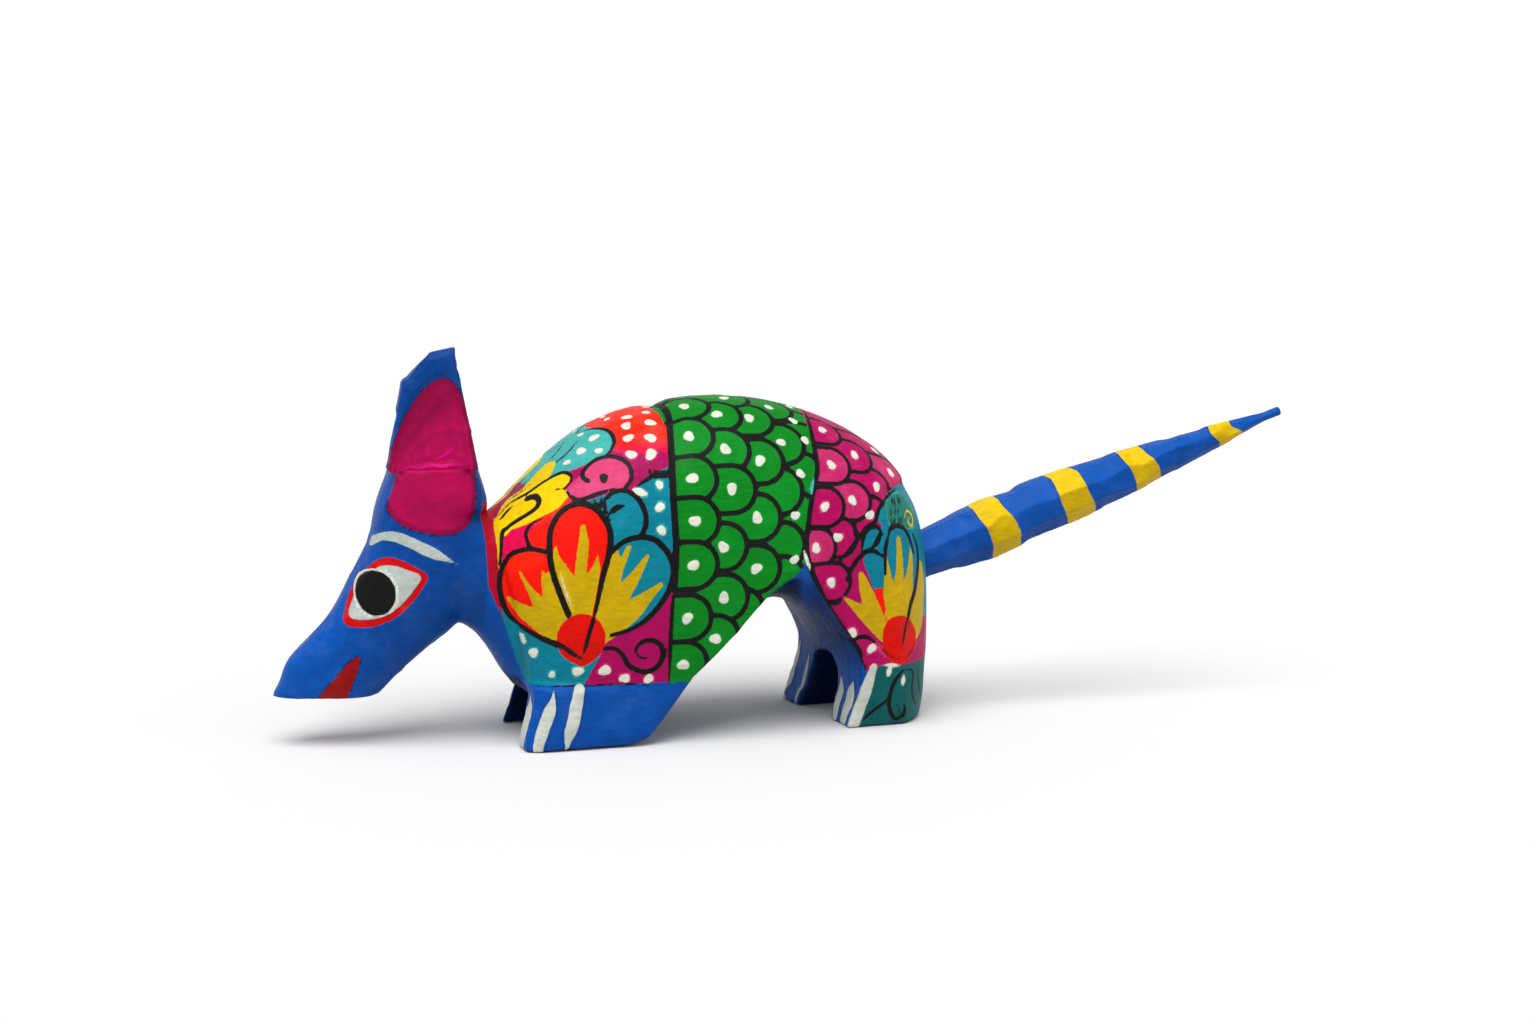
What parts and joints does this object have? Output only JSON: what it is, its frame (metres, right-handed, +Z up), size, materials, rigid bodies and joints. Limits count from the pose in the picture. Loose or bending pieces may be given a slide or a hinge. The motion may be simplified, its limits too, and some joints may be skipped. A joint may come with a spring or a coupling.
{
  "type": "carved wooden armadillo figure",
  "caption": "Hand-carved, brightly painted wooden armadillo that stands on its feet, with flat ears in slots in its crown and a long pointed tail on a peg.",
  "frame": {"origin": "on the ground, under the middle of the whole figure's box", "axes": "+X towards the tail along the figure's length, +Y towards the animal's right side, +Z up"},
  "size_m": [0.2546, 0.0502, 0.0935],
  "materials": {
    "body_paint": "carved copal wood under brushed acrylic paint, satin",
    "ear_paint": "carved copal wood under brushed acrylic paint, satin",
    "tail_paint": "carved copal wood under brushed acrylic paint, satin"
  },
  "bodies": {
    "figure": {"body": "body_paint"},
    "left_ear": {"left_ear": "ear_paint"},
    "right_ear": {"right_ear": "ear_paint"},
    "tail": {"tail": "tail_paint"}
  },
  "joints": [
    {"name": "tail_pull", "type": "slide", "parent": "figure", "child": "tail", "axis": [0.9489, 0, 0.3156], "range_m": [0, 0.03]},
    {"name": "left_ear_lift", "type": "slide", "parent": "figure", "child": "left_ear", "axis": [0, 0, 1], "range_m": [0, 0.02]},
    {"name": "right_ear_lift", "type": "slide", "parent": "figure", "child": "right_ear", "axis": [0, 0, 1], "range_m": [0, 0.02]}
  ]
}
